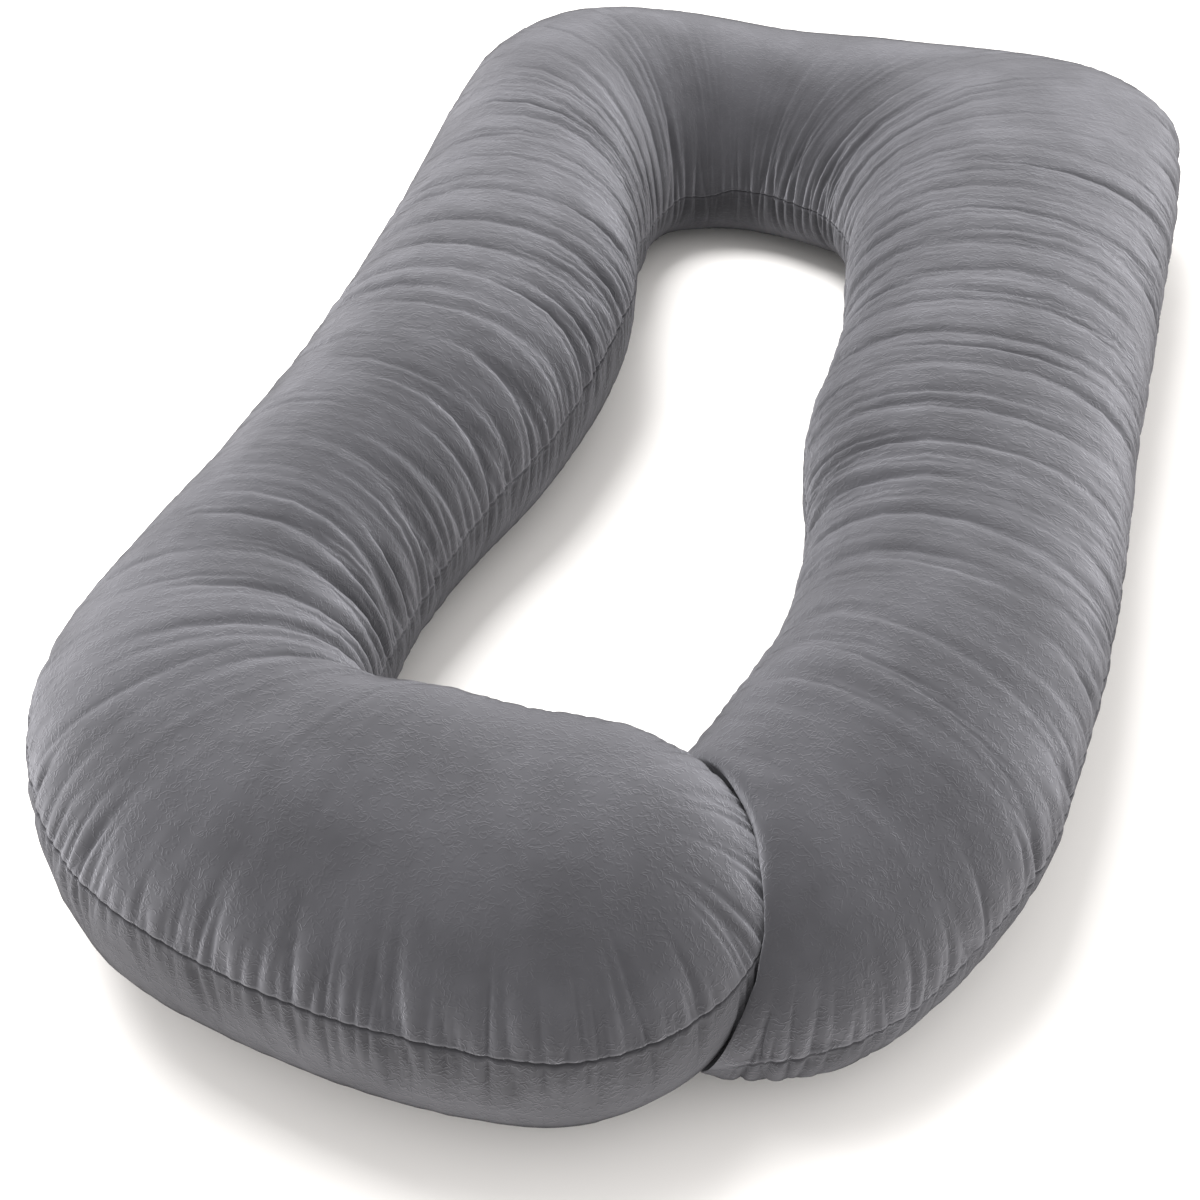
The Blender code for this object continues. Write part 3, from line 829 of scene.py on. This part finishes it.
def velvet_material():
    """Matt grey velvet: a short nap in worm-like strokes, ripples where it is crushed, a sewn seam, and
    painted shade in its groove and on the panel underneath.
    """
    material = bpy.data.materials.new("velvet")
    material.use_nodes = True
    make = Nodes(material)
    shader = material.node_tree.nodes["Principled BSDF"]
    shader.inputs["Roughness"].default_value = CLOTH_ROUGHNESS
    shader.inputs["Specular IOR Level"].default_value = CLOTH_SPECULAR
    shader.inputs["Sheen Roughness"].default_value = SHEEN_ROUGHNESS
    shader.inputs["Sheen Tint"].default_value = SHEEN_TINT
    place = make.add("ShaderNodeTexCoord").outputs["Object"]
    tube = make.add("ShaderNodeUVMap", {"uv_map": "tube"}).outputs["UV"]
    seam = make.add("ShaderNodeUVMap", {"uv_map": "seam"}).outputs["UV"]
    crush = make.add("ShaderNodeAttribute", {"attribute_name": "crush"}).outputs["Fac"]

    # strokes of the nap: thin lines where a smooth noise crosses its middle, even on the ends and drawn
    # out on the tube, in patches
    lines = []
    drawn = {"Scale": (1.0, NAP_STRETCH, 1.0)}
    rippled = make.add("ShaderNodeMapping", drawn, Vector=tube).outputs["Vector"]
    strokes = {"Scale": NAP_SCALE, "Detail": 0.0, "Distortion": 1.2}
    for coordinate in (place, rippled):
        noise = make.add("ShaderNodeTexNoise", strokes, Vector=coordinate)
        off = make.math("ABSOLUTE", make.math("SUBTRACT", noise.outputs["Fac"], 0.5))
        lines.append(make.math("SUBTRACT", 1.0, make.ramp(off, 0.0, NAP_LINE)))
    blend = make.add("ShaderNodeMix", {"data_type": "FLOAT"}, Factor=crush, A=lines[0], B=lines[1])
    patches = make.add("ShaderNodeTexNoise", {"Scale": NAP_PATCH_SCALE, "Detail": 0.0}, Vector=place)
    nap = make.math("MULTIPLY", blend.outputs[0], make.ramp(patches.outputs["Fac"], *NAP_PATCHES))

    # ripples across the tube
    across = {"Scale": (1 / RIPPLE_SIZE[0], 1 / RIPPLE_SIZE[1], 1.0)}
    stretched = make.add("ShaderNodeMapping", across, Vector=tube).outputs["Vector"]
    waves = {"Scale": 1.0, "Detail": 2.0, "Distortion": 0.4}
    ripples = make.add("ShaderNodeTexNoise", waves, Vector=stretched)
    ripple = make.math("MULTIPLY", ripples.outputs["Fac"], crush)

    # the seam: a thin dark line of painted shade in its groove, drawn as stitches that are a little thinner
    # at each end
    split = make.add("ShaderNodeSeparateXYZ", Vector=seam)
    away = make.math("ABSOLUTE", split.outputs["Y"])
    stitch = make.math("PINGPONG", split.outputs["X"], STITCH / 2)
    swell = make.math("MULTIPLY", stitch, SEAM_LINE * STITCH_SWELL / STITCH)
    half = make.math("ADD", SEAM_LINE * STITCH_THIN, swell)
    cloth_share = make.ramp(make.math("DIVIDE", away, half), 0.5, 1.0)
    top_panel = make.ramp(split.outputs["Y"], -PANEL_EDGE, 0.0)

    # broad patches where the nap lies another way, and painted shade over the whole panel underneath
    clouds = {"Scale": TONE_SCALE, "Detail": 4.0, "Roughness": 0.6}
    broad = make.add("ShaderNodeTexNoise", clouds, Vector=place)
    tone = make.ramp(broad.outputs["Fac"], *TONE_RANGE)
    nap_and_groove_shade = make.mix(cloth_share, GROOVE_SHADE, make.mix(tone, NAP_DARK, NAP_LIGHT))
    panel_shade = make.math("ADD", UNDER_SHADE, make.math("MULTIPLY", top_panel, 1 - UNDER_SHADE))
    shaded_colour = make.add("ShaderNodeVectorMath", {"operation": "SCALE"}, Scale=panel_shade)
    make.tree.links.new(nap_and_groove_shade, shaded_colour.inputs[0])
    make.tree.links.new(shaded_colour.outputs[0], shader.inputs["Base Color"])

    # the sheen, which falls away where the cloth is seen edge on, and is cut by the painted shade
    # underneath
    facing = make.add("ShaderNodeLayerWeight", {"Blend": 0.5}).outputs["Facing"]
    loss = make.math("MULTIPLY", make.math("POWER", facing, SHEEN_LOSS_POWER), SHEEN_LOSS)
    sheen = make.math("MULTIPLY", make.math("SUBTRACT", SHEEN, loss), panel_shade)
    spread = make.math("MULTIPLY", make.math("SUBTRACT", tone, 0.5), SHEEN_SPREAD)
    sheen = make.math("MULTIPLY", sheen, make.math("ADD", 1.0, spread))
    make.tree.links.new(sheen, shader.inputs["Sheen Weight"])

    nap_height = make.math("MULTIPLY", nap, NAP_HEIGHT)
    height = make.math("ADD", nap_height, make.math("MULTIPLY", ripple, RIPPLE_HEIGHT))
    bump = make.add("ShaderNodeBump", {"Strength": 1.0, "Distance": 1.0}, Height=height)
    make.tree.links.new(bump.outputs["Normal"], shader.inputs["Normal"])
    return material


def floor():
    """A plain pale floor."""
    mesh = bpy.data.meshes.new("floor")
    corners = [(-1, -1), (1, -1), (1, 1), (-1, 1)]
    mesh.from_pydata([(x * FLOOR_REACH, y * FLOOR_REACH, 0) for x, y in corners], [], [(0, 1, 2, 3)])
    material = bpy.data.materials.new("floor")
    material.use_nodes = True
    shader = material.node_tree.nodes["Principled BSDF"]
    shader.inputs["Base Color"].default_value = FLOOR_COLOUR
    shader.inputs["Roughness"].default_value = FLOOR_ROUGHNESS
    shader.inputs["Specular IOR Level"].default_value = 0.0
    shader.inputs["Emission Color"].default_value = FLOOR_GLOW
    shader.inputs["Emission Strength"].default_value = FLOOR_GLOW_STRENGTH
    mesh.materials.append(material)
    thing = bpy.data.objects.new("floor", mesh)
    bpy.context.scene.collection.objects.link(thing)


def lights():
    """Soft studio light: a bright even room and one broad square light above, which faces the middle."""
    world = bpy.data.worlds.new("room")
    world.use_nodes = True
    background = world.node_tree.nodes["Background"]
    background.inputs["Color"].default_value = ROOM_COLOUR
    background.inputs["Strength"].default_value = ROOM_STRENGTH
    bpy.context.scene.world = world
    data = bpy.data.lights.new("key", "AREA")
    data.shape = "SQUARE"
    data.size = KEY_SIZE
    data.energy = KEY_POWER
    light = bpy.data.objects.new("key", data)
    light.location = KEY_PLACE
    light.rotation_euler = (-Vector(KEY_PLACE)).to_track_quat("-Z", "Y").to_euler()
    bpy.context.scene.collection.objects.link(light)


def camera():
    """The photograph's view: 41 degrees down and 14 degrees round."""
    data = bpy.data.cameras.new("camera")
    data.sensor_width = CAMERA_FRAME
    data.lens = CAMERA_LENS
    view = bpy.data.objects.new("camera", data)
    view.location = CAMERA_PLACE
    view.rotation_euler = [math.radians(turn) for turn in (90 - CAMERA_DOWN, CAMERA_ROLL, CAMERA_ROUND)]
    bpy.context.scene.collection.objects.link(view)
    bpy.context.scene.camera = view


camera()
cover = bpy.data.objects.new("cover", cover_mesh("cover"))
cover.data.materials.append(velvet_material())
bpy.context.scene.collection.objects.link(cover)
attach(cover, "root")
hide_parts("pillow")
floor()
lights()
bpy.context.scene.view_settings.view_transform = "Standard"
